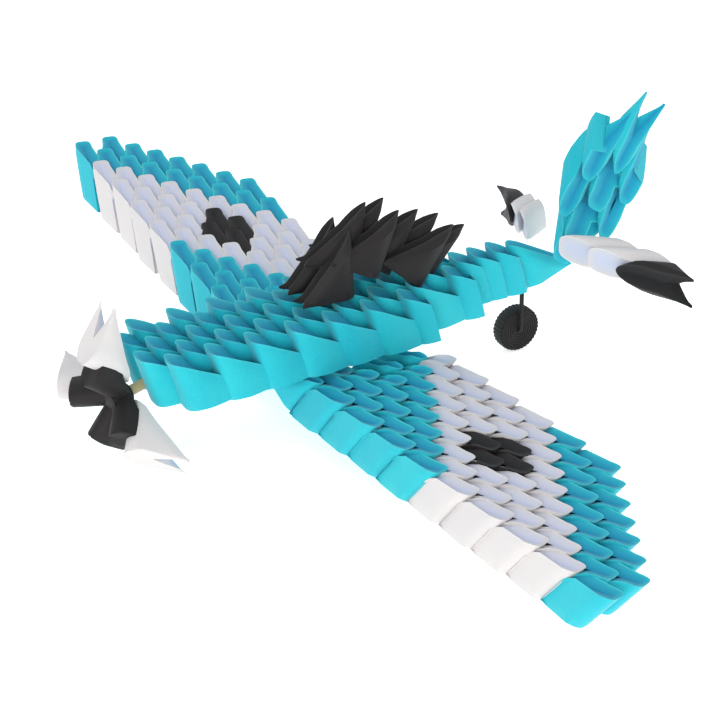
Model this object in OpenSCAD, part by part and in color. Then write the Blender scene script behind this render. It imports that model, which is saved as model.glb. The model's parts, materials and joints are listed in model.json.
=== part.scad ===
// Modular folded-paper airplane. Millimetres, nose towards -Y, wings along X, up is +Z.
// Every folded unit is a hollow two-pocket wedge: its closed end is the spine, its two
// points slide into the pockets of the next row.

/* [Folded unit] */
// short side of the folded triangle
leg = 18.5; // [12:0.5:30]
// thickness left at the sharp points
tip_thickness = 0.6; // [0.3:0.1:1.5]
// free play along the pointing direction between nested units
play = 0.7; // [0.4:0.1:1.5]

/* [Fuselage] */
// distance between neighbouring points in a row
body_strip = 6.2; // [4:0.1:9]
// distance between rows
body_step = 6.4; // [5:0.1:9]
// how far the units lean towards the nose
body_tilt = 15; // [5:1:30]
// height of the underside
body_floor = 21.4; // [15:0.1:40]

/* [Wings] */
// how far each wing row sits inboard of the row before it
wing_row_in = 15.7; // [12:0.1:18]
// inboard distance between neighbouring units in a row
wing_unit_in = 8.43; // [7:0.01:10]
// rearward distance between neighbouring units in a row
wing_unit_back = 4.37; // [3:0.01:6]
// lean of the wing units
wing_tilt = 37; // [30:1:45]
// units in a full wing row
wing_units = 9; // [6:1:10]

/* [Propeller] */
// distance from the shaft to the blade tips
blade_tip_r = 29.5; // [27:0.5:34]
// how far the shaft points below the horizontal
prop_pitch = 7; // [0:1:12]
// how far the shaft points to the left of straight ahead
prop_yaw = 10; // [0:1:12]
// radius of the shaft
shaft_r = 1.6; // [1:0.1:3]
// free play of the hub on the shaft
shaft_play = 0.06; // [0.02:0.01:0.1]

/* [Landing gear] */
// radius of the tail wheel
tail_wheel_r = 7.4; // [5:0.1:10]
// radius of the wing wheels
wing_wheel_r = 4.1; // [3:0.1:6]
// radius of the axle pins
axle_r = 0.8; // [0.5:0.1:1.5]

/* [Hidden] */
turquoise = [0.05, 0.75, 0.82];
white = [0.95, 0.95, 0.97];
black = [0.08, 0.08, 0.08];
tan = [0.80, 0.70, 0.50];
$fn = 48;
origin_y = 41.5;
nose_y = -121 + origin_y;
prop_y = nose_y - 5.6;
shaft_z = body_floor + 2.3;
sleeve_r = 3.0;
body_counts = [2, 3, 2, 3, 2, 3, 2, 3, 2, 3, 2, 3, 2, 3, 2, 1, 2, 1, 1, 1, 1];
wing_tip_x = 175.8;
wing_tip_y = -65.4 + origin_y;
wing_tip_z = 26.5;
wing_row_back = -0.7;
wing_row_drop = 0.62;
wing_unit_drop = 0.26;
// horizontal pointing direction of the wing units, halfway between the two units they slide into
point_x = -(wing_row_in - wing_unit_in / 2);
point_y = wing_row_back - wing_unit_back / 2;
point_length = norm([point_x, point_y]);
point_angle = atan2(point_y, point_x);
// how far the nearer of those two units is ahead, along the pointing direction
near_ahead = ((wing_unit_in - wing_row_in) * point_x + (wing_row_back - wing_unit_back) * point_y)
    / point_length;
near_drop = wing_row_drop - wing_unit_drop;
wing_strip = abs((-wing_unit_in) * point_y - wing_unit_back * point_x) / point_length / 2;
mark_rows = [[3, 4], [3, 5], [4, 3], [4, 4]];

// Solid wedge of one folded half: right angle at the origin, apex up, point along +Y.
module half_wedge(thick) {
    intersection() {
        rotate([90, 0, 90])
            translate([0, 0, -thick / 2])
                linear_extrude(height = thick)
                    polygon([[0, 0], [leg, 0], [0, leg]]);
        linear_extrude(height = leg)
            polygon([[-thick / 2, 0], [thick / 2, 0], [tip_thickness / 2, leg], [-tip_thickness / 2, leg]]);
        translate([0, 0, leg])
            rotate([45, 0, 0])
                translate([0, 0, -2 * leg])
                    linear_extrude(height = 3 * leg)
                        polygon([[-thick * 0.22, 0], [thick * 0.22, 0], [thick / 2, -leg * 0.4],
                                 [thick / 2, -leg], [-thick / 2, -leg], [-thick / 2, -leg * 0.4]]);
    }
}

// Strip of paper that joins the two halves along the spine.
module spine_web() {
    rotate([90, 0, 90])
        translate([0, 0, -0.3])
            linear_extrude(height = 0.6)
                polygon([[0, 0.4], [1.1, 0.4], [1.1, leg * 0.86], [0, leg * 0.94]]);
}

// One folded unit: two hollow halves side by side, joined by the spine.
// ahead and rise give the place of the next row along the unit's own two legs.
module unit(strip, ahead, rise) {
    thick = strip - 0.22;
    reach = norm([ahead, rise]);
    back = (reach - play) / reach;
    for (side = [-1, 1])
        translate([side * strip / 2, 0, 0])
            difference() {
                half_wedge(thick);
                translate([0, -ahead * back, -rise * back])
                    half_wedge(thick);
            }
    spine_web();
}

// A unit leaning by tilt whose next row is ahead by step and up by lift.
module leaning_unit(strip, tilt, step, lift) {
    rotate([tilt, 0, 0])
        unit(strip, step * cos(tilt) + lift * sin(tilt), lift * cos(tilt) - step * sin(tilt));
}

// The tilted frame of the propeller: its shaft lies along Y at the origin, nose towards -Y.
module prop_frame() {
    translate([0, prop_y, shaft_z])
        rotate([prop_pitch, 0, prop_yaw])
            children();
}

module body_row(row) {
    count = body_counts[row];
    for (k = [0 : count - 1])
        translate([(k - (count - 1) / 2) * 2 * body_strip, nose_y + row * body_step, body_floor])
            leaning_unit(body_strip, body_tilt, body_step, 0);
}

module body_rows(first) {
    color(turquoise)
        if (first == 0) {
            difference() {
                for (row = [0 : 2])
                    body_row(row);
                prop_frame()
                    rotate([-90, 0, 0])
                        cylinder(h = 17, r = shaft_r + 0.01);
            }
        } else {
            for (row = [first : min(first + 2, len(body_counts) - 1)])
                body_row(row);
        }
}

// Apex of wing unit k in a row, counted from the leading edge of the left wing.
function apex(row, k) = [wing_tip_x - row * wing_row_in - k * wing_unit_in,
                         wing_tip_y + row * wing_row_back + k * wing_unit_back,
                         wing_tip_z - row * wing_row_drop - k * wing_unit_drop];

function is_mark(row, k) = len([for (m = mark_rows) if (m == [row, k]) 1]) > 0;

// The outermost row is two units shorter at its leading end, which rounds the wing tip.
function fits(row, k) = apex(row, k)[0] > 17 && (row > 0 || k > 1);

module wing_unit(row, k) {
    translate(apex(row, k))
        rotate([0, 0, point_angle - 90])
            rotate([wing_tilt, 0, 0])
                translate([0, 0, -leg])
                    unit(wing_strip, near_ahead * cos(wing_tilt) - near_drop * sin(wing_tilt),
                         -near_ahead * sin(wing_tilt) - near_drop * cos(wing_tilt));
}

// Keeps the inner units on their own side of the centre line.
module own_side(row) {
    if (row > 4) {
        intersection() {
            translate([0.25, -150, -50])
                cube([200, 300, 120]);
            children();
        }
    } else {
        children();
    }
}

module wing_row(side, row) {
    color(row < 2 || row > 5 ? turquoise : white)
        mirror([side < 0 ? 1 : 0, 0, 0])
            own_side(row)
                for (k = [0 : wing_units - 1])
                    if (fits(row, k) && !is_mark(row, k))
                        wing_unit(row, k);
}

module wing_mark(side, row) {
    color(black)
        mirror([side < 0 ? 1 : 0, 0, 0])
            for (m = mark_rows)
                if (m[0] == row)
                    wing_unit(m[0], m[1]);
}

// Removes whatever would sink into the fuselage, whose back slopes down behind the last apex.
module above_body() {
    crest = body_floor + leg * cos(body_tilt) + 0.02;
    last_y = nose_y + (len(body_counts) - 1) * body_step - leg * sin(body_tilt);
    difference() {
        children();
        rotate([90, 0, 90])
            translate([0, 0, -60])
                linear_extrude(height = 120)
                    polygon([[nose_y - 10, 0], [nose_y - 10, crest], [last_y, crest],
                             [last_y + 26, crest - 26 * 0.577], [last_y + 26, 0]]);
    }
}

// canopy rows from the rear to the front: apex y, apex height over the floor, lean, units
canopy_rows = [[-12.3, 27.0, 40, 1], [-19.0, 30.4, 34, 2], [-29.0, 36.3, 28, 1],
               [-38.0, 40.3, 21, 2], [-46.5, 43.1, 13, 1], [-54.7, 38.1, -3, 2]];
canopy_strip = 4.6;

// Outer shape of one canopy row, without pockets.
module canopy_shape(row) {
    place = canopy_rows[row];
    for (k = [0 : place[3] - 1])
        translate([(k - (place[3] - 1) / 2) * 2 * canopy_strip, origin_y + place[0], body_floor + place[1]])
            rotate([0, 0, 180])
                rotate([place[2], 0, 0])
                    translate([0, 0, -leg])
                        for (side = [-1, 1])
                            translate([side * canopy_strip / 2, 0, 0])
                                half_wedge(canopy_strip - 0.22);
}

module canopy_webs(row) {
    place = canopy_rows[row];
    for (k = [0 : place[3] - 1])
        translate([(k - (place[3] - 1) / 2) * 2 * canopy_strip, origin_y + place[0], body_floor + place[1]])
            rotate([0, 0, 180])
                rotate([place[2], 0, 0])
                    translate([0, 0, -leg])
                        spine_web();
}

module canopy_row(row) {
    color(black)
        above_body() {
            difference() {
                union() {
                    difference() {
                        canopy_shape(row);
                        if (row == 0)
                            translate([0, 7, -4])
                                canopy_shape(0);
                    }
                    canopy_webs(row);
                }
                for (lower = [1 : 2])
                    if (row >= lower) {
                        canopy_shape(row - lower);
                        canopy_webs(row - lower);
                    }
                if (row == 5)
                    for (lift = [3, 6])
                        translate([0, 0, lift])
                            canopy_shape(row - 1);
            }
        }
}

fin_counts = [1, 1, 2, 1, 2, 1];
fin_strip = 8.4;
fin_step = 6.4;
fin_lean = 38;
fin_angle = 51.7;

// The fin is a flat sheet of units standing on edge, closed ends towards the left side.
module fin_row(row) {
    count = fin_counts[row];
    color(turquoise)
        above_body()
            translate([-7.3, 24.7 + origin_y, body_floor + 18.2])
                rotate([fin_angle, 0, 0])
                    for (k = [0 : count - 1])
                        translate([0, row * fin_step, (k - (count - 1) / 2) * 2 * fin_strip])
                            rotate([0, 90, 0])
                                leaning_unit(fin_strip, fin_lean, fin_step, 0);
}

stab_strip = 6.0;
stab_step = 10.8;
stab_lean = 38;
stab_sweep = 18;
stab_roll = 7;
stab_droop = 9;

// One of three units in line; closed ends face forward. The tailplane droops and sits slightly rolled.
module stab_unit(side, place) {
    translate([0, 30 + origin_y, body_floor + 16.6])
        rotate([0, -stab_roll, 0])
            mirror([side < 0 ? 1 : 0, 0, 0])
                rotate([0, stab_droop, 0])
                    translate([9.5, -14, 0])
                        rotate([0, 0, stab_sweep - 90])
                            rotate([0, 90, 0])
                                translate([0, place * stab_step, 0])
                                    rotate([stab_lean, 0, 0])
                                        translate([0, 0, -leg])
                                            unit(stab_strip, stab_step * cos(stab_lean),
                                                 -stab_step * sin(stab_lean));
}

module stabiliser(side, first, last) {
    color(last == 2 ? black : white)
        for (place = [first : last])
            stab_unit(side, place);
}

// blades and hub units by angle around the shaft, clockwise from the top seen from behind
blade_angles = [-2, 118, 266];
hub_angles = [-2, 118, 192, 266];
blade_strip = 5.2;
blade_step = 7.0;
blade_inset = 0.6;
blade_root_r = blade_tip_r - leg * sqrt(2);

// Space between the neighbouring hub units, measured halfway to each of them.
module sector(angle) {
    index = search(angle, hub_angles)[0];
    count = len(hub_angles);
    before = index == 0 ? hub_angles[count - 1] - 360 : hub_angles[index - 1];
    after = index == count - 1 ? hub_angles[0] + 360 : hub_angles[index + 1];
    first = (before + angle) / 2 + 1;
    last = (after + angle) / 2 - 1;
    translate([0, 8, 0])
        rotate([90, 0, 0])
            linear_extrude(height = 40)
                polygon(concat([[0, 0]], [for (i = [0 : 4]) 60 * [sin(first + (last - first) * i / 4),
                                                                 cos(first + (last - first) * i / 4)]]));
}

// One unit of the propeller: place 0 in the hub, place 1 outside it.
module prop_unit(angle, place) {
    root_r = blade_root_r + (place - 1) * blade_step;
    prop_frame()
        difference() {
            intersection() {
                rotate([0, angle, 0])
                    translate([0, -leg / sqrt(2) - (1 - place) * blade_inset, root_r + leg / sqrt(2)])
                        rotate([45, 0, 0])
                            rotate([0, 180, 0])
                                unit(blade_strip, (blade_step + blade_inset) / sqrt(2),
                                     (blade_inset - blade_step) / sqrt(2));
                sector(angle);
            }
            translate([0, 8, 0])
                rotate([90, 0, 0])
                    cylinder(h = 40, r = sleeve_r + 0.01);
        }
}

module hub() {
    color(black)
        for (angle = hub_angles)
            prop_unit(angle, 0);
}

module prop_blades() {
    color(white)
        for (angle = blade_angles)
            prop_unit(angle, 1);
}

module hub_sleeve() {
    color(black)
        prop_frame()
            rotate([90, 0, 0])
                difference() {
                    translate([0, 0, -0.6])
                        cylinder(h = 11.6, r = sleeve_r);
                    translate([0, 0, -2])
                        cylinder(h = 16, r = shaft_r + shaft_play);
                }
}

module shaft() {
    color(tan)
        prop_frame()
            translate([0, 16, 0])
                rotate([90, 0, 0])
                    cylinder(h = 28, r = shaft_r);
}

// wheel places: x, y, wheel radius, top of the strut
gear = [[0, 7 + origin_y, tail_wheel_r, body_floor - 0.02],
        [82.8, -62 + origin_y, wing_wheel_r, 8.6],
        [-82.8, -62 + origin_y, wing_wheel_r, 8.6]];
wheel_width = 4.4;

module wheel(index) {
    place = gear[index];
    color(black)
        translate([place[0] - wheel_width / 2, place[1], place[2]])
            rotate([0, 90, 0])
                difference() {
                    union() {
                        cylinder(h = wheel_width, r = place[2] - 0.5);
                        translate([0, 0, 0.7])
                            cylinder(h = wheel_width - 1.4, r = place[2]);
                    }
                    translate([0, 0, -1])
                        cylinder(h = wheel_width + 2, r = axle_r + 0.06);
                }
}

// An axle pin with a flat strut at its outer end, up to the paper above.
module strut(index) {
    place = gear[index];
    color(black)
        translate([place[0], place[1], place[2]])
            mirror([place[0] < 0 ? 1 : 0, 0, 0]) {
                translate([-wheel_width / 2 - 0.4, 0, 0])
                    rotate([0, 90, 0])
                        cylinder(h = wheel_width + 1.6, r = axle_r);
                translate([wheel_width / 2 + 0.4, -1.2, -1.6])
                    cube([1, 2.4, place[3] - place[2] + 1.6]);
            }
}

body_rows(0);  // fuselage_a
body_rows(3);  // fuselage_b
body_rows(6);  // fuselage_c
body_rows(9);  // fuselage_d
body_rows(12);  // fuselage_e
body_rows(15);  // fuselage_f
body_rows(18);  // fuselage_g
wing_row(1, 0);  // left_wing_row_1
wing_row(1, 1);  // left_wing_row_2
wing_row(1, 2);  // left_wing_row_3
wing_row(1, 3);  // left_wing_row_4
wing_row(1, 4);  // left_wing_row_5
wing_row(1, 5);  // left_wing_row_6
wing_row(1, 6);  // left_wing_row_7
wing_row(1, 7);  // left_wing_row_8
wing_row(1, 8);  // left_wing_row_9
wing_row(1, 9);  // left_wing_row_10
wing_mark(1, 3);  // left_wing_mark_outer
wing_mark(1, 4);  // left_wing_mark_inner
wing_row(-1, 0);  // right_wing_row_1
wing_row(-1, 1);  // right_wing_row_2
wing_row(-1, 2);  // right_wing_row_3
wing_row(-1, 3);  // right_wing_row_4
wing_row(-1, 4);  // right_wing_row_5
wing_row(-1, 5);  // right_wing_row_6
wing_row(-1, 6);  // right_wing_row_7
wing_row(-1, 7);  // right_wing_row_8
wing_row(-1, 8);  // right_wing_row_9
wing_row(-1, 9);  // right_wing_row_10
wing_mark(-1, 3);  // right_wing_mark_outer
wing_mark(-1, 4);  // right_wing_mark_inner
canopy_row(0);  // canopy_row_1
canopy_row(1);  // canopy_row_2
canopy_row(2);  // canopy_row_3
canopy_row(3);  // canopy_row_4
canopy_row(4);  // canopy_row_5
canopy_row(5);  // canopy_row_6
fin_row(0);  // fin_row_1
fin_row(1);  // fin_row_2
fin_row(2);  // fin_row_3
fin_row(3);  // fin_row_4
fin_row(4);  // fin_row_5
fin_row(5);  // fin_row_6
stabiliser(1, 0, 1);  // left_stabiliser_root
stabiliser(1, 2, 2);  // left_stabiliser_tip
stabiliser(-1, 0, 1);  // right_stabiliser_root
stabiliser(-1, 2, 2);  // right_stabiliser_tip
hub();  // propeller_hub
prop_blades();  // propeller_blades
hub_sleeve();  // propeller_sleeve
shaft();  // propeller_shaft
wheel(0);  // tail_wheel
wheel(1);  // left_wheel
wheel(2);  // right_wheel
strut(0);  // tail_strut
strut(1);  // left_strut
strut(2);  // right_strut
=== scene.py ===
import json
import math
import random

import bpy
import numpy as np
from mathutils import Matrix, Vector


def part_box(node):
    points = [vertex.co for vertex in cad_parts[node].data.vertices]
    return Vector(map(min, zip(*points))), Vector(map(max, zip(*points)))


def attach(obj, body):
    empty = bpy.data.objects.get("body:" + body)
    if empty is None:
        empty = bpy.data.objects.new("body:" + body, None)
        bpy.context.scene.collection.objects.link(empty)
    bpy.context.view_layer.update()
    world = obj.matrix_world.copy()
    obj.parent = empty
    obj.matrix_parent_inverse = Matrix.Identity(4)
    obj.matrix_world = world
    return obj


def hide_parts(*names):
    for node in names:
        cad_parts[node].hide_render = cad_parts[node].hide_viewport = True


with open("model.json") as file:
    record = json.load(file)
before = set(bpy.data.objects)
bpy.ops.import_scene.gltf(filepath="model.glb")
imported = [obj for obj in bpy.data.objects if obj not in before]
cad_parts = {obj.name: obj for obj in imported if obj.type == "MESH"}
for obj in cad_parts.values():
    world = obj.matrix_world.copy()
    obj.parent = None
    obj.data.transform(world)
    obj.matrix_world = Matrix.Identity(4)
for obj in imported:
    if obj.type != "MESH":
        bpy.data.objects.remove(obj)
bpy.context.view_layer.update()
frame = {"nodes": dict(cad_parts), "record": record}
NODES = frame["nodes"]
RECORD = frame["record"]
SLOT_OF = {part["node"]: part["material_slot"] for part in RECORD["subparts"]}
BODY_OF = {node: body for body, nodes in RECORD["behaviour"]["bodies"].items() for node in nodes}
JOINTS = {joint["name"]: joint for joint in RECORD["behaviour"]["joints"]}
MM = 0.001
LEG = 18.5  # short side of every folded unit, in millimetres


# ---------------------------------------------------------------- materials

def colour(rgb):
    """An sRGB colour, 0 to 255, as the linear RGBA that a shader takes."""
    out = []
    for c in rgb:
        c = c / 255
        out.append(c / 12.92 if c <= 0.04045 else ((c + 0.055) / 1.055) ** 2.4)
    return (*out, 1.0)


class Graph:
    """Short calls for building one material's nodes."""

    def __init__(self, name):
        self.material = bpy.data.materials.new(name)
        self.material.use_nodes = True
        self.tree = self.material.node_tree
        self.shader = self.tree.nodes["Principled BSDF"]
        self.place = self.add("ShaderNodeTexCoord").outputs["Object"]

    def connect(self, socket, value):
        """Links another node's output to a socket, or sets a plain value on it."""
        if hasattr(value, "is_linked"):
            self.tree.links.new(value, socket)
        else:
            socket.default_value = value

    def add(self, kind, **values):
        node = self.tree.nodes.new(kind)
        for key, value in values.items():
            if key in node.inputs:
                self.connect(node.inputs[key], value)
            else:
                setattr(node, key, value)
        return node

    def noise(self, scale, detail=3.0, stretch=(1, 1, 1), roughness=0.5):
        mapping = self.add("ShaderNodeMapping", Vector=self.place, Scale=stretch)
        return self.add("ShaderNodeTexNoise", Vector=mapping.outputs[0], Scale=scale, Detail=detail,
                        Roughness=roughness).outputs["Fac"]

    def ramp(self, value, low, high, start=0.0, end=1.0):
        """value between start and end becomes low to high."""
        node = self.add("ShaderNodeMapRange", Value=value)
        node.inputs["From Min"].default_value = start
        node.inputs["From Max"].default_value = end
        node.inputs["To Min"].default_value = low
        node.inputs["To Max"].default_value = high
        return node.outputs[0]

    def mix(self, factor, first, second):
        """Two colours mixed; the sockets of a Mix node share names, so they go by number."""
        node = self.tree.nodes.new("ShaderNodeMix")
        node.data_type = "RGBA"
        for socket, value in ((0, factor), (6, first), (7, second)):
            self.connect(node.inputs[socket], value)
        return node.outputs[2]

    def attribute(self, name):
        return self.add("ShaderNodeAttribute", attribute_name=name).outputs["Fac"]

    def bump(self, height, strength, distance, normal=None):
        node = self.add("ShaderNodeBump", Height=height, Strength=strength, Distance=distance)
        if normal is not None:
            self.tree.links.new(normal, node.inputs["Normal"])
        return node.outputs[0]

    def put(self, socket, value):
        self.connect(self.shader.inputs[socket], value)


def paper(name, base, deep, fibre_wear_and_highlight, hollow_shade, rough=0.72, sheen=0.15):
    """Matte coloured paper: fibres, faint mottling, a tone for each unit, paler folds where a mesh's rim
    value is above 0 (partly worn edges, partly a painted highlight), and painted shade in the hollows
    where it is below 0. The colours are sRGB, 0 to 255."""
    base, deep, fibre_wear_and_highlight, hollow_shade = (colour(rgb) for rgb in (base, deep, fibre_wear_and_highlight, hollow_shade))
    graph = Graph(name)
    fibre = graph.noise(2600, detail=4, stretch=(1, 0.35, 1), roughness=0.65)
    cloud = graph.noise(120, detail=2)
    tone = graph.attribute("tone")
    mottled = graph.mix(graph.ramp(cloud, 0.0, 0.35, 0.35, 0.7), base, deep)
    toned = graph.mix(graph.ramp(tone, 0.0, 0.45), mottled, deep)
    speckled = graph.mix(graph.ramp(fibre, 0.0, 0.16, 0.45, 0.7), toned, fibre_wear_and_highlight)
    # Painted shade: a rim value below 0, in the troughs, darkens the paper towards the fourth colour.
    shaded = graph.mix(graph.ramp(graph.attribute("rim"), 1.0, 0.0, -1.0, 0.0), speckled, hollow_shade)
    # Paler where the rim value is above 0: partly worn paper edges, partly a painted highlight on folds
    # and edges that catch the light.
    graph.put("Base Color", graph.mix(graph.ramp(graph.attribute("rim"), 0.0, 0.3), shaded, fibre_wear_and_highlight))
    graph.put("Roughness", graph.ramp(fibre, rough - 0.08, rough + 0.1, 0.3, 0.7))
    graph.put("Sheen Weight", sheen)
    graph.put("Specular IOR Level", 0.3)
    coarse = graph.bump(graph.noise(420), 0.25, 0.0002)
    graph.put("Normal", graph.bump(fibre, 0.35, 0.00006, coarse))
    return graph.material


# Each paper: base; deep for mottling and each unit's tone; a pale colour for fibres and paler folds; and
# a painted shade colour for the hollows.
TURQUOISE = paper("turquoise_paper", (30, 194, 203), (0, 176, 198), (110, 216, 218), (0, 146, 184))
WHITE = paper("white_paper", (219, 214, 211), (211, 207, 207), (238, 235, 233), (203, 208, 229))
BLACK = paper("black_paper", (36, 32, 31), (24, 22, 23), (70, 62, 58), (10, 9, 10), 0.6, 0.05)
CARD = paper("black_card", (33, 30, 29), (20, 18, 18), (64, 58, 54), (10, 9, 10), 0.66, 0.05)
TAN = paper("rolled_paper", (205, 184, 140), (176, 152, 106), (232, 216, 178), (120, 100, 66))
MATERIALS = {"turquoise_paper": TURQUOISE, "white_paper": WHITE, "black_paper": BLACK,
             "black_card": CARD, "rolled_paper": TAN, "black_wire": CARD}


# ---------------------------------------------------------------- pieces and turns

SMOOTH_ANGLE = 40  # faces that meet at less than this, in degrees, are shaded as one


def finish_mesh(node, suffix, verts, faces, rim, tone):
    """A detailed piece that stands in for a CAD node, on that node's body and in its slot."""
    mesh = bpy.data.meshes.new(node + suffix)
    mesh.from_pydata([tuple(v) for v in verts], [], faces)
    mesh.validate()
    for key, values in (("rim", rim), ("tone", tone)):
        layer = mesh.attributes.new(key, "FLOAT", "POINT")
        layer.data.foreach_set("value", values)
    mesh.materials.append(MATERIALS[SLOT_OF[node]])
    piece = bpy.data.objects.new(node + suffix, mesh)
    bpy.context.scene.collection.objects.link(piece)
    mesh.polygons.foreach_set("use_smooth", [True] * len(mesh.polygons))
    mesh.set_sharp_from_angle(angle=math.radians(SMOOTH_ANGLE))
    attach(piece, BODY_OF[node])
    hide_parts(node)


def rotation(x=0, y=0, z=0):
    """Turned about X, then Y, then Z, in degrees."""
    return (Matrix.Rotation(math.radians(z), 3, "Z") @ Matrix.Rotation(math.radians(y), 3, "Y")
            @ Matrix.Rotation(math.radians(x), 3, "X"))


def mirrored(turn):
    """The turn of the same unit on the other side of the plane x = 0."""
    flip = Matrix(((-1, 0, 0), (0, 1, 0), (0, 0, 1)))
    return flip @ turn @ flip


def clamp(value):
    return max(0.0, min(1.0, value))


# ---------------------------------------------------------------- the folded unit

# Shares of the way from a unit's middle to its outer face; the folded edge is beyond FOLD_START.
ACROSS = (0.0, 0.22, 0.45, 0.68, 0.86, 0.93, 1.0)
FOLD_START = 0.92
# Cross-sections: shares of the rounded closed end, then even steps along the arms.
CLOSED_END = (0.0, 0.012, 0.05, 0.12, 0.24, 0.42, 0.68, 1.0)
ARM_STEPS = 8
EDGE_THICKNESS = 0.24
END_SLOPE = 1.6  # how far from the closed end the trough and the clipped corner take effect
PAST_JOINT = 2.5  # how far an arm goes on inside the unit that it runs into
FACE_SLOPE = 3.0  # how far down from the folded edge a face slopes out to the full width
SLOPE_DEPTHS = (0.12, 0.8, 1.8, FACE_SLOPE)
FACE_SHARES = (0.6, 0.3, 0.03)  # where the upright part of a face has vertices


def unit_mesh(width, tip, rng, arms=(None, None), notch=0.9, trough=2.0, skirt=0.0, lip=0.85,
              sink=0.8, flat=1.0, ends=LEG, clip=0.0):
    """Vertices, faces and a rim value for each vertex of one folded unit, in its own frame:
    right angle at the origin, closed end along +Z, points along +Y, all in millimetres. Seen from
    above it is a U whose top is a soft trough between two folded edges, which part at the notch.
    width is half of the closed end's, and tip half of the width at the points. arms gives, for the
    arm on each side, the right angle of the unit that it runs into, or None for a straight arm.
    trough is how deep the trough is. skirt lowers the bottom edge, lip is how far out the folded
    edges are, as a share of the width, and sink is how far the arms dip under the next unit. flat
    below 1 brings the right angle nearer to the folded edges, ends is where straight arms stop, and
    clip blunts the closed end's upper corner."""
    round_end = width * 1.2
    fork = LEG * notch
    stations = [round_end * share for share in CLOSED_END] + [fork]
    stations += [round_end + (LEG - round_end) * i / ARM_STEPS for i in range(1, ARM_STEPS + 1)]
    stations = sorted(set(round(y, 4) for y in stations))
    skew = rng.uniform(-0.25, 0.25)
    sag = rng.uniform(-0.12, 0.12)
    puff = rng.uniform(0.01, 0.04)
    verts, rim, faces, index = [], [], [], {}

    def vertex(x, y, z, mark):
        """The number of the vertex at a place, which halves and faces share."""
        key = (round(x, 4), round(y, 4), round(z, 4))
        if key not in index:
            index[key] = len(verts)
            lift = (1 - flat) * (LEG - y - z) / 2
            verts.append((x, y + lift, z + lift))
            rim.append(mark)
        return index[key]

    def add(face):
        clean = [v for k, v in enumerate(face) if v != face[k - 1]]
        if len(set(clean)) > 2:
            faces.append(tuple(clean))

    def half_width(side, y, joint):
        """From the unit's middle to the outer face of one arm."""
        if y < round_end:
            blunt = 1.9 if joint is None else 3.6
            return max(0.16, width * (1 - (1 - y / round_end) ** blunt) ** (1 / blunt))
        if joint is None:
            return width + (tip + EDGE_THICKNESS - width) * (y - round_end) / (LEG - round_end)
        into = clamp((y - round_end) / (joint[1] + 1.2 - round_end))
        reach = max(-0.3 * width, side * joint[0] + 0.7 * width)
        return width + (reach - width) * into

    def top_height(y, joint):
        """Height of the folded edge, which dips where the next unit covers the arm."""
        height = LEG - y + 0.5 * y / LEG - clip * math.exp(-y / END_SLOPE)
        dip_start, dip_run = (3.6, 2.8) if joint is None else (joint[1] - 0.3, 1.4)
        dip = clamp((y - dip_start) / dip_run)
        return height - min(sink * dip * dip * (3 - 2 * dip), 0.5 * height)

    def cross_section(side, y, joint):
        """The vertices of one arm's outline at y: over the top, down the face and back inwards."""
        outer = half_width(side, y, joint)
        height = top_height(y, joint)
        fold_at = lip if joint is None else 0.9
        apart = max(0.0, (y - fork) / (LEG - fork))
        inner = max(0.05, outer - 2 * EDGE_THICKNESS) * apart ** 0.9 if apart else 0.0
        span = outer - inner
        depth = min((trough + sag) * (1 - math.exp(-y / END_SLOPE)), 0.6 * height)
        ring = []
        for share in ACROSS:
            fold = share > FOLD_START
            z = height - (0.0 if fold else 0.1 * min(1.0, y)) - depth * (1 - share) ** 1.2
            # Painted shade: trough vertices get a rim value below 0, deepest at the unit's middle.
            hollow_shade = 0.0
            if outer > 0.55 * width or y < 2:
                hollow_shade = -(1 - share) ** 0.6 * min(1.0, y / 1.5)
            # Folded-edge vertices get a rim value of 1: a paler fold, partly wear and partly painted
            # highlight.
            ring.append(vertex(side * (inner + span * fold_at * share), y, z, 1.0 if fold else hollow_shade))
        for down in SLOPE_DEPTHS:
            out = fold_at + (1 - fold_at) * (down / FACE_SLOPE) ** 0.85
            z = height - down if height > 4 else height * (1 - down / 4)
            # Just below the folded edge the paler fold runs on a little: partly wear, partly painted
            # highlight.
            ring.append(vertex(side * (inner + span * out), y, z, 0.5 if down < 0.2 else 0.0))
        shoulder = height - FACE_SLOPE if height > 4 else height * 0.25
        drop = 0.0 if joint is None else joint[2] * min(1.0, y / max(joint[1], 1.0))
        low = min(drop, 0.8 * height - 0.6) - skirt * (1 - y / LEG) ** 0.7
        for share in FACE_SHARES:
            squeeze = 0.92 + 0.08 * share + puff * math.sin(math.pi * share)
            lean = skew * (1 - share) * (1 - y / LEG)
            z = shoulder * share + low * (1 - share)
            ring.append(vertex(side * outer * squeeze + lean, y, z, 0.0))
        for share in reversed(ACROSS[:-1]):
            lean = skew * (1 - y / LEG)
            z = min(0.2 * height, 0.4) * (1 - share) + low
            ring.append(vertex(side * (inner + span * share) * 0.88 + lean, y, z, 0.0))
        return ring

    for side, joint in zip((-1, 1), arms):
        last = ends if joint is None else joint[1] + PAST_JOINT
        rings = [cross_section(side, y, joint) for y in stations if y <= last]
        for a, b, y in zip(rings, rings[1:], stations):
            pairs = list(zip(range(len(a)), range(1, len(a))))
            if y >= fork - 1e-6:
                pairs.append((len(a) - 1, 0))
            for k, m in pairs:
                quad = [a[k], a[m], b[m], b[k]]
                add(quad if side > 0 else quad[::-1])
        add(rings[-1] if side > 0 else rings[-1][::-1])
        add(rings[0][::-1] if side > 0 else rings[0])
    return verts, faces, rim


# ---------------------------------------------------------------- where the units are

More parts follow.
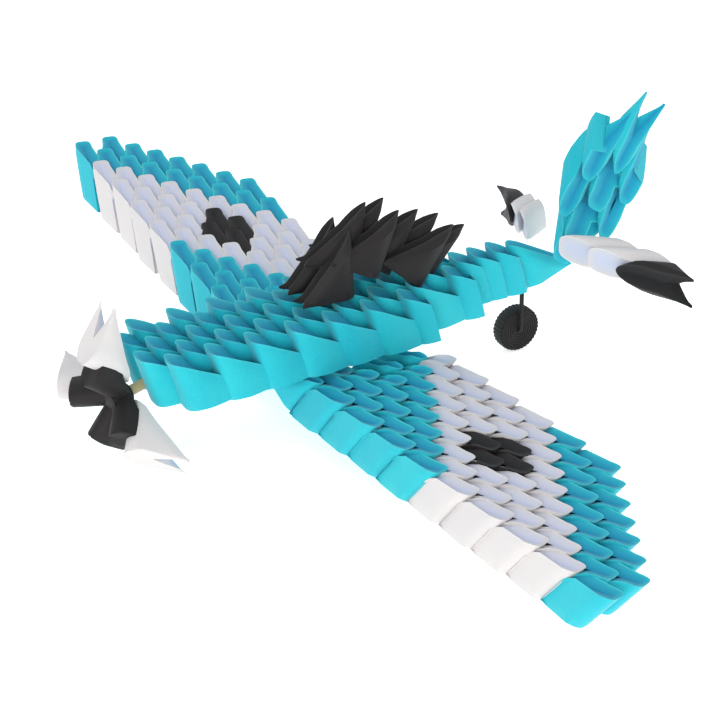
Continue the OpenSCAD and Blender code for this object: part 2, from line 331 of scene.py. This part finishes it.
def islands(node):
    """The separate solids of a CAD node, each as an array of its points in metres."""
    mesh = NODES[node].data
    points = np.array([v.co[:] for v in mesh.vertices])
    keys = {}
    owner = np.array([keys.setdefault(tuple(np.round(p, 6)), i) for i, p in enumerate(points)])
    parent = list(range(len(points)))

    def root(i):
        while parent[i] != i:
            parent[i] = parent[parent[i]]
            i = parent[i]
        return i

    for line in mesh.edges:
        a, b = root(owner[line.vertices[0]]), root(owner[line.vertices[1]])
        if a != b:
            parent[a] = b
    groups = {}
    for i in range(len(points)):
        groups.setdefault(root(owner[i]), []).append(i)
    fewest = 20  # points of a solid that is a folded unit
    return [points[group] for group in groups.values() if len(group) > fewest]


def seats(node, turn):
    """Where the right angle of each unit of a node is, for units that all have this turn."""
    out = []
    for island in islands(node):
        local = island @ np.array(turn)
        low, high = local.min(0), local.max(0)
        out.append(turn @ Vector(((low[0] + high[0]) / 2, low[1], low[2])))
    return out


def all_seats(start, turn):
    """The seats of every node whose name starts like this."""
    return [place for node in NODES if node.startswith(start) for place in seats(node, turn)]


def free_arms(place, turn, others, pitch):
    """The arms of a unit: an arm with no neighbour beside it in its row goes into the unit of a
    following row that stands furthest out on that side. others are the seats of the whole wing,
    fin or body, and pitch is the distance between neighbours in a row, in millimetres."""
    local = [turn.transposed() @ (seat - Vector(place)) / MM for seat in others]
    arms = []
    for way in (-1, 1):
        ahead = [q for q in local if 4 < q.y < 14 and abs(q.x) < pitch * 0.75]
        if not ahead or any(abs(q.x - way * pitch) < 1.5 and abs(q.y) < 1.5 for q in local):
            arms.append(None)
            continue
        goal = max(ahead, key=lambda q: way * q.x - 0.02 * q.y)
        arms.append((goal.x, goal.y, goal.z))
    return tuple(arms)


def seated(node, turn, others, pitch):
    """The units of a node, each with its place, its turn and its arms."""
    return [(place, turn, free_arms(place, turn, others, pitch)) for place in seats(node, turn)]


def build(node, units, seed, width, tip, **form):
    """The detailed piece of a node, with all of its folded units. units is a list of
    (place, turn) or (place, turn, arms), and form goes to unit_mesh."""
    rng = random.Random(seed)
    verts, faces, rim, tone = [], [], [], []
    for place, turn, *arms in units:
        unit_verts, unit_faces, unit_rim = unit_mesh(
            width * rng.uniform(0.97, 1.03), tip * rng.uniform(0.93, 1.07), rng, *arms, **form)
        wobble = rotation(*(rng.uniform(-1, 1) for _ in range(3)))
        shift = Vector([rng.uniform(-0.15, 0.15) * MM for _ in range(3)])
        base = len(verts)
        for p in unit_verts:
            verts.append(Vector(place) + shift + turn @ (wobble @ Vector(p)) * MM)
        faces.extend(tuple(base + i for i in face) for face in unit_faces)
        rim.extend(unit_rim)
        tone.extend([rng.random()] * len(unit_verts))
    finish_mesh(node, "_paper", verts, faces, rim, tone)


# ---------------------------------------------------------------- fuselage

BODY_LEAN = 15
BODY_TURN = rotation(x=BODY_LEAN)
BODY_SEATS = all_seats("fuselage", BODY_TURN)


def fuselage(node, seed):
    build(node, seated(node, BODY_TURN, BODY_SEATS, pitch=10.8), seed, width=5.4, tip=3.4,
          trough=2.8, lip=0.62, sink=0.0, clip=1.8)


# ---------------------------------------------------------------- wings

# Steps in the left wing, as in the CAD: from a row to the next one inboard, and within a row.
WING_ROW_STEP = Vector((-15.7, -0.7, -0.62))
WING_UNIT_IN, WING_UNIT_BACK = 8.43, 4.37
WING_LEAN = 37
# The units point halfway between the two units that they slide into.
point_x = WING_ROW_STEP.x + WING_UNIT_IN / 2
point_y = WING_ROW_STEP.y - WING_UNIT_BACK / 2
LEFT_WING_TURN = rotation(z=math.degrees(math.atan2(point_y, point_x)) - 90) @ rotation(x=WING_LEAN)
WING_TURNS = {"left": LEFT_WING_TURN, "right": mirrored(LEFT_WING_TURN)}
LAST_WING_ROW = "_wing_row_10"


def hidden_row(wing):
    """The seats of one more row of units, which runs on under the fuselage."""
    step = WING_ROW_STEP.copy()
    if wing == "right":
        step.x = -step.x
    return [place + step * MM for place in all_seats(wing + LAST_WING_ROW, WING_TURNS[wing])]


HIDDEN_ROWS = {wing: hidden_row(wing) for wing in WING_TURNS}
WING_SEATS = {wing: all_seats(wing + "_wing_", turn) + HIDDEN_ROWS[wing]
              for wing, turn in WING_TURNS.items()}


def wing_piece(node, seed):
    wing = node.split("_")[0]
    units = seated(node, WING_TURNS[wing], WING_SEATS[wing], pitch=6.1)
    ends = 12.4
    if LAST_WING_ROW in node:
        units += [(place, WING_TURNS[wing]) for place in HIDDEN_ROWS[wing]]
        ends = 15.8
    build(node, units, seed, width=3.05, tip=1.9, trough=1.9, sink=2.0, ends=ends, clip=0.5,
          lip=0.55 if wing == "left" else 0.75)


# ---------------------------------------------------------------- fin and stabilisers

FIN_TURN = rotation(x=51.7) @ rotation(y=90) @ rotation(x=38)
FIN_SEATS = all_seats("fin", FIN_TURN)
TAILPLANE_ROLL = rotation(y=-7)
STABILISER_TURN = rotation(y=9) @ rotation(z=18 - 90) @ rotation(y=90) @ rotation(x=38)


def fin_piece(node, seed):
    top_rows = node[-1] in "56"
    build(node, seated(node, FIN_TURN, FIN_SEATS, pitch=16.8), seed, width=4.9, tip=4.7, notch=0.4,
          trough=2.6, lip=0.62, flat=0.55, sink=0.0 if top_rows else 2.0)


def stabiliser_piece(node, seed):
    side = node.split("_")[0]
    turn = TAILPLANE_ROLL @ (STABILISER_TURN if side == "left" else mirrored(STABILISER_TURN))
    width, tip = (5.4, 4.6) if node.endswith("tip") else (4.9, 2.6)
    units = seated(node, turn, all_seats(side + "_stabiliser", turn), pitch=10.0)
    build(node, units, seed, width, tip, notch=0.55, lip=0.7, flat=0.62)


for number, name in enumerate(sorted(NODES)):
    if name.startswith("fuselage"):
        fuselage(name, number)
    elif "_wing_" in name:
        wing_piece(name, number)
    elif name.startswith("fin"):
        fin_piece(name, number)
    elif "stabiliser" in name:
        stabiliser_piece(name, number)


# ---------------------------------------------------------------- canopy

# The rows fan forwards: apex behind the nose, apex height over the fuselage floor, lean, units.
CANOPY_ROWS = [(108.7, 27.0, 40, 1), (102.0, 30.4, 34, 2), (92.0, 36.3, 28, 1), (83.0, 40.3, 21, 2),
               (74.5, 43.1, 13, 1), (66.3, 38.1, -3, 2)]
CANOPY_SPACING = 9.2
CANOPY_SEED = 200
floor_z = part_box("fuselage_a")[0][2] / MM
nose_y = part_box("fuselage_a")[0][1] / MM + LEG * math.sin(math.radians(BODY_LEAN))

for row, (back, up, lean, count) in enumerate(CANOPY_ROWS):
    turn = rotation(z=180) @ rotation(x=lean)
    units = []
    for k in range(count):
        apex = Vector(((k - (count - 1) / 2) * CANOPY_SPACING, nose_y + back, floor_z + up)) * MM
        units.append((apex - turn @ Vector((0, 0, LEG)) * MM, turn))
    build("canopy_row_%d" % (row + 1), units, CANOPY_SEED + row, width=4.0, tip=2.7, skirt=3.0,
          lip=0.45, trough=1.4)


# ---------------------------------------------------------------- propeller

BLADE_TIP_RADIUS = 29.5
BLADES_OUT = 7  # how much further out the blades are than the hub's units
HUB_FORWARD = 0.6  # how far the hub's units stand ahead of the blades
HUB_ANGLES = (-2, 118, 192, 266)
BLADE_ANGLES = (-2, 118, 266)
hub_place = Vector(JOINTS["propeller_spin"]["pos_m"])
forward = Vector(JOINTS["propeller_spin"]["axis"]).normalized()
side_axis = Vector((0, 0, 1)).cross(forward).normalized()
PROPELLER_TURN = Matrix((side_axis, -forward, side_axis.cross(-forward))).transposed()


def propeller_units(angles, out, ahead):
    """Units round the shaft, with their points outwards: out is how far they stand beyond the
    blades' radius, and ahead how far in front of the blades."""
    units = []
    middle = LEG / math.sqrt(2)  # from a unit's right angle to the line through its closed end and points
    radius = BLADE_TIP_RADIUS - LEG * math.sqrt(2) + out + middle
    for angle in angles:
        around = PROPELLER_TURN @ rotation(y=angle)
        corner = hub_place + around @ Vector((0, -middle - ahead, radius)) * MM
        units.append((corner, around @ rotation(x=45) @ rotation(y=180)))
    return units


build("propeller_hub", propeller_units(HUB_ANGLES, -BLADES_OUT, HUB_FORWARD), seed=301,
      width=4.2, tip=2.2, notch=0.6, lip=0.94, trough=0.8, sink=2.5, ends=14.5)
build("propeller_blades", propeller_units(BLADE_ANGLES, 0, 0), seed=302,
      width=4.6, tip=3.4, notch=0.45, lip=0.9)


# ---------------------------------------------------------------- wheels, sleeve and shaft

def lathe(node, suffix, profile, place, turn, segments, ripple, tone):
    """A closed ring of profile points (radius, height, rim) turned round local Z. ripple gives what
    is added to a radius, from the angle, the radius and the height."""
    verts, faces, rim = [], [], []
    n = len(profile)
    for s in range(segments):
        angle = 2 * math.pi * s / segments
        for radius, height, mark in profile:
            r = radius + ripple(angle, radius, height)
            verts.append(place + turn @ Vector((r * math.cos(angle), r * math.sin(angle), height)) * MM)
            rim.append(mark)
    for s in range(segments):
        t = (s + 1) % segments
        for i in range(n):
            j = (i + 1) % n
            faces.append((s * n + i, t * n + i, t * n + j, s * n + j))
    finish_mesh(node, suffix, verts, faces, rim, [tone] * len(verts))


def wheel(node, radius, flutes):
    """A coil of corrugated card strip: wound layers on the sides, flutes round the tread."""
    half = 2.2  # half of the wheel's width
    hole = 0.9  # radius of the hole for the axle
    strip = 0.9  # rough thickness of one layer
    groove = 0.3
    rim_edge = 0.5
    layers = int((radius - hole) / strip)
    step = (radius - rim_edge - hole) / layers
    profile = []
    for i in range(layers):
        r = hole + i * step
        z = half - 0.25 * (1 - i / layers)
        profile += [(r + 0.08, z, 0.6), (r + step * 0.62, z, 0.3),
                    (r + step * 0.72, z - groove, 0.0), (r + step * 0.95, z - groove, 0.0)]
    profile += [(radius - 0.35, half - 0.05, 0.7), (radius - 0.05, half - rim_edge, 0.5)]
    whole = profile + [(r, -z, mark) for r, z, mark in reversed(profile)]

    def ripple(angle, r, height):
        outer = max(0.0, (r / radius - 0.6) / 0.4)
        flute = -0.32 * outer * (0.5 - 0.5 * math.cos(angle * flutes))
        return flute - 0.1 * (0.5 + 0.5 * math.cos(angle)) * (r / radius)

    centre = Vector(JOINTS[node + "_spin"]["pos_m"])
    lathe(node, "_coil", whole, centre, rotation(y=90), flutes * 6, ripple, 0.4)


def rolled_tube(node, start, end, outer, inner, turns=4, closed=False):
    """A paper tube wound from a strip: a spiral end and a slightly raised helical seam. A closed
    tube has its far end folded in."""
    length = (end - start).length / MM
    z_axis = (end - start).normalized()
    x_axis = z_axis.orthogonal().normalized()
    turn = Matrix((x_axis, z_axis.cross(x_axis), z_axis)).transposed()
    gap = (outer - inner) / turns
    near = []
    for i in range(turns):
        r = inner + gap * i
        near += [(r, 0.0 if i == 0 else 0.06, 0.2), (r + gap * 0.7, 0.06, 0.9),
                 (r + gap * 0.85, 0.25, 0.0)]
    near.append((outer, 0.1, 0.9))
    wall_steps = 14
    wall = [(outer, 0.1 + (length - 0.2) * i / wall_steps, 0.0) for i in range(1, wall_steps)]
    far = [(r, length - h, mark) for r, h, mark in reversed(near)]
    if closed:
        far += [(0.02, length - 0.1, 0.0), (0.02, length - 0.3, 0.0), (inner, length - 0.35, 0.0)]

    def seam(angle, r, height):
        if r < outer * 0.95:
            return 0
        phase = (angle / (2 * math.pi) + height / 9.0) % 1.0
        return 0.07 * phase - 0.07

    lathe(node, "_roll", near + wall + far, start, turn, 64, seam, 0.3)


wheel("tail_wheel", 7.4, flutes=34)
wheel("left_wheel", 4.1, flutes=20)
wheel("right_wheel", 4.1, flutes=20)
rolled_tube("propeller_sleeve", hub_place - forward * 0.6 * MM, hub_place + forward * 6.4 * MM,
            3.0, 1.66, closed=True)
rolled_tube("propeller_shaft", hub_place - forward * 16 * MM, hub_place + forward * 6.0 * MM,
            1.6, 0.3)


# ---------------------------------------------------------------- struts

ROD_RADIUS = 0.62
ROD_SIDES = 18
BEND_RADIUS = 0.9 * MM
LEG_INSET = 0.6 * MM  # from the outer side of the strut's box to the middle of its upright leg


def strut(wheel_name):
    """A thin twisted rod: the axle through the wheel, an elbow, and the leg up to the paper."""
    node = wheel_name + "_strut"
    low, high = [Vector(c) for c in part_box(node)]
    centre = Vector(JOINTS[wheel_name + "_wheel_spin"]["pos_m"])
    outward = -1 if wheel_name == "right" else 1
    inner_x, outer_x = (high.x, low.x) if outward < 0 else (low.x, high.x)
    leg_x = outer_x - outward * LEG_INSET
    bend_x = leg_x - outward * BEND_RADIUS
    leg_low = centre.z + BEND_RADIUS
    path = [Vector((inner_x, centre.y, centre.z)), Vector((bend_x, centre.y, centre.z))]
    for i in range(1, 6):
        angle = math.pi / 2 * i / 6
        path.append(Vector((leg_x - outward * BEND_RADIUS * (1 - math.sin(angle)), centre.y,
                            centre.z + BEND_RADIUS * (1 - math.cos(angle)))))
    for i in range(6):
        path.append(Vector((leg_x, centre.y, leg_low + (high.z - leg_low) * i / 5)))
    verts, faces, rim = [], [], []
    for i, p in enumerate(path):
        tangent = (path[min(i + 1, len(path) - 1)] - path[max(i - 1, 0)]).normalized()
        x_axis = tangent.cross(Vector((0, 1, 0))).normalized()
        y_axis = tangent.cross(x_axis)
        for k in range(ROD_SIDES):
            angle = 2 * math.pi * k / ROD_SIDES + i * 0.35
            r = (ROD_RADIUS + 0.1 * math.cos(2 * angle - i * 0.7)) * MM
            verts.append(p + (x_axis * math.cos(angle) + y_axis * math.sin(angle)) * r)
            rim.append(0.5 if k % 9 == 0 else 0.0)
    last = len(path) - 1
    for i in range(last):
        for k in range(ROD_SIDES):
            m = (k + 1) % ROD_SIDES
            faces.append((i * ROD_SIDES + k, i * ROD_SIDES + m,
                          (i + 1) * ROD_SIDES + m, (i + 1) * ROD_SIDES + k))
    faces.append(tuple(range(ROD_SIDES - 1, -1, -1)))
    faces.append(tuple(last * ROD_SIDES + k for k in range(ROD_SIDES)))
    finish_mesh(node, "_rod", verts, faces, rim, [0.5] * len(verts))


for wheel_name in ("tail", "left", "right"):
    strut(wheel_name)


# ---------------------------------------------------------------- floor, light and camera

def stage_floor():
    graph = Graph("studio_floor")
    graph.put("Base Color", (0.93, 0.93, 0.93, 1))
    graph.put("Roughness", 0.9)
    graph.put("Specular IOR Level", 0.1)
    graph.put("Emission Color", (1, 1, 1, 1))
    graph.put("Emission Strength", 0.62)
    bpy.ops.mesh.primitive_plane_add(size=12, location=(0, 0, 0))
    floor = bpy.context.object
    floor.name = "floor"
    floor.data.materials.append(graph.material)


def studio_world():
    world = bpy.data.worlds.new("studio")
    bpy.context.scene.world = world
    world.use_nodes = True
    background = world.node_tree.nodes["Background"]
    background.inputs["Color"].default_value = (0.9, 0.94, 1.0, 1)
    background.inputs["Strength"].default_value = 0.72


def area_light(name, place, size, power, tint=(1, 1, 1)):
    """A square light that points at the middle of the object."""
    data = bpy.data.lights.new(name, "AREA")
    data.size = size
    data.energy = power
    data.color = tint
    light = bpy.data.objects.new(name, data)
    light.location = place
    aim = Vector((0, 0, 0.03)) - Vector(place)
    light.rotation_euler = aim.to_track_quat("-Z", "Y").to_euler()
    bpy.context.scene.collection.objects.link(light)


def photo_camera():
    """The camera at the photo's viewing angle. Its middle is aimed a little left of the target and
    below it, by these slopes."""
    azimuth, elevation, roll = math.radians(56.79), math.radians(25.99), math.radians(1.06)
    distance = 0.8179
    aside, below = 0.051743, 0.059135
    target = Vector((0, nose_y + 121, floor_z + 31.7)) * MM
    back = Vector((math.sin(azimuth) * math.cos(elevation), -math.cos(azimuth) * math.cos(elevation),
                   math.sin(elevation)))
    level = Vector((math.cos(azimuth), math.sin(azimuth), 0))
    upright = back.cross(level)
    right_axis = level * math.cos(roll) + upright * math.sin(roll)
    up_axis = upright * math.cos(roll) - level * math.sin(roll)
    eye = target + back * distance
    back = (back + right_axis * aside + up_axis * below).normalized()
    right_axis = (right_axis - back * right_axis.dot(back)).normalized()
    up_axis = back.cross(right_axis)
    data = bpy.data.cameras.new("camera")
    data.sensor_width = 36
    data.lens = 134.8
    camera = bpy.data.objects.new("camera", data)
    turn = Matrix((right_axis, up_axis, back)).transposed()
    camera.matrix_world = Matrix.Translation(eye) @ turn.to_4x4()
    bpy.context.scene.collection.objects.link(camera)
    bpy.context.scene.camera = camera


stage_floor()
studio_world()
area_light("key", (1.0, -0.85, 0.5), 0.5, 6.6, (1.0, 0.96, 0.91))
area_light("fill", (-0.8, -0.4, 0.9), 1.0, 2, (0.93, 0.97, 1.0))
area_light("rim", (0.1, 0.9, 0.8), 0.8, 1.2)
photo_camera()
bpy.context.scene.view_settings.view_transform = "Standard"
